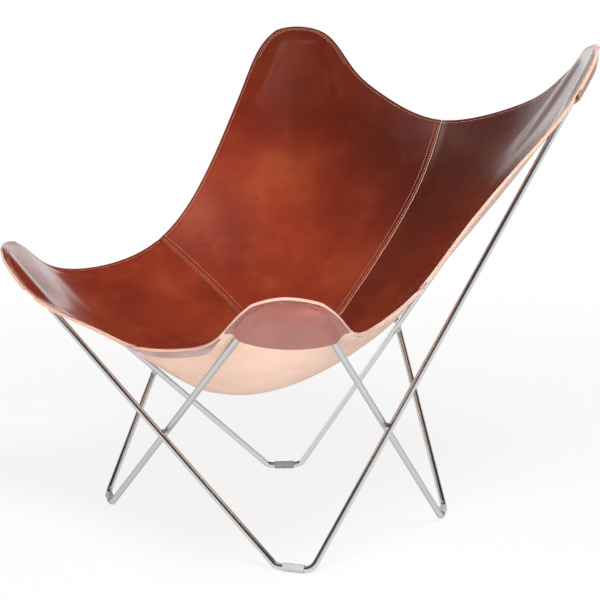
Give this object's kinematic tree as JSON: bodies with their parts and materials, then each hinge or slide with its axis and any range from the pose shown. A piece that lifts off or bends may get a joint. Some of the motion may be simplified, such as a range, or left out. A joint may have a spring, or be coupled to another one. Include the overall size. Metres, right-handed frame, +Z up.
{
  "type": "butterfly sling chair",
  "caption": "Lounge chair with a leather sling hung by corner pockets on a welded frame of bent round steel rod.",
  "frame": {"origin": "on the floor, under the middle of the chair's outline", "axes": "+Z up, +Y from the front of the chair to its back, +X to the right as seen by someone facing the chair's front"},
  "size_m": [0.9183, 0.8698, 0.9143],
  "materials": {
    "steel_rod": "satin chrome plate on bent round rod",
    "weld_steel": "plated weld bead",
    "foot_glide": "matt grey",
    "leather": "waxed cognac grain side, pale raw flesh side and cut edges",
    "pocket_leather": "waxed mauve brown",
    "strip_leather": "waxed mauve brown"
  },
  "bodies": {
    "root": {"rod_bow_front_left": "steel_rod", "rod_bow_front_right": "steel_rod", "rod_bow_back_left": "steel_rod", "rod_bow_back_right": "steel_rod", "foot_sleeve_front_left": "foot_glide", "foot_sleeve_front_right": "foot_glide", "foot_sleeve_back_left": "foot_glide", "foot_sleeve_back_right": "foot_glide", "weld_bead_front": "weld_steel", "weld_bead_back": "weld_steel", "weld_bead_left": "weld_steel", "weld_bead_right": "weld_steel", "sling_panel_back_left": "leather", "sling_panel_back_right": "leather", "sling_panel_front_left": "leather", "sling_panel_front_right": "leather", "corner_pocket_back_left": "pocket_leather", "corner_pocket_back_right": "pocket_leather", "corner_pocket_front_left": "pocket_leather", "corner_pocket_front_right": "pocket_leather", "edge_strip_back_left_side": "strip_leather", "edge_strip_back_left_back": "strip_leather", "edge_strip_back_right_side": "strip_leather", "edge_strip_back_right_back": "strip_leather", "edge_strip_front_left_side": "strip_leather", "edge_strip_front_left_front": "strip_leather", "edge_strip_front_right_side": "strip_leather", "edge_strip_front_right_front": "strip_leather"}
  },
  "joints": []
}
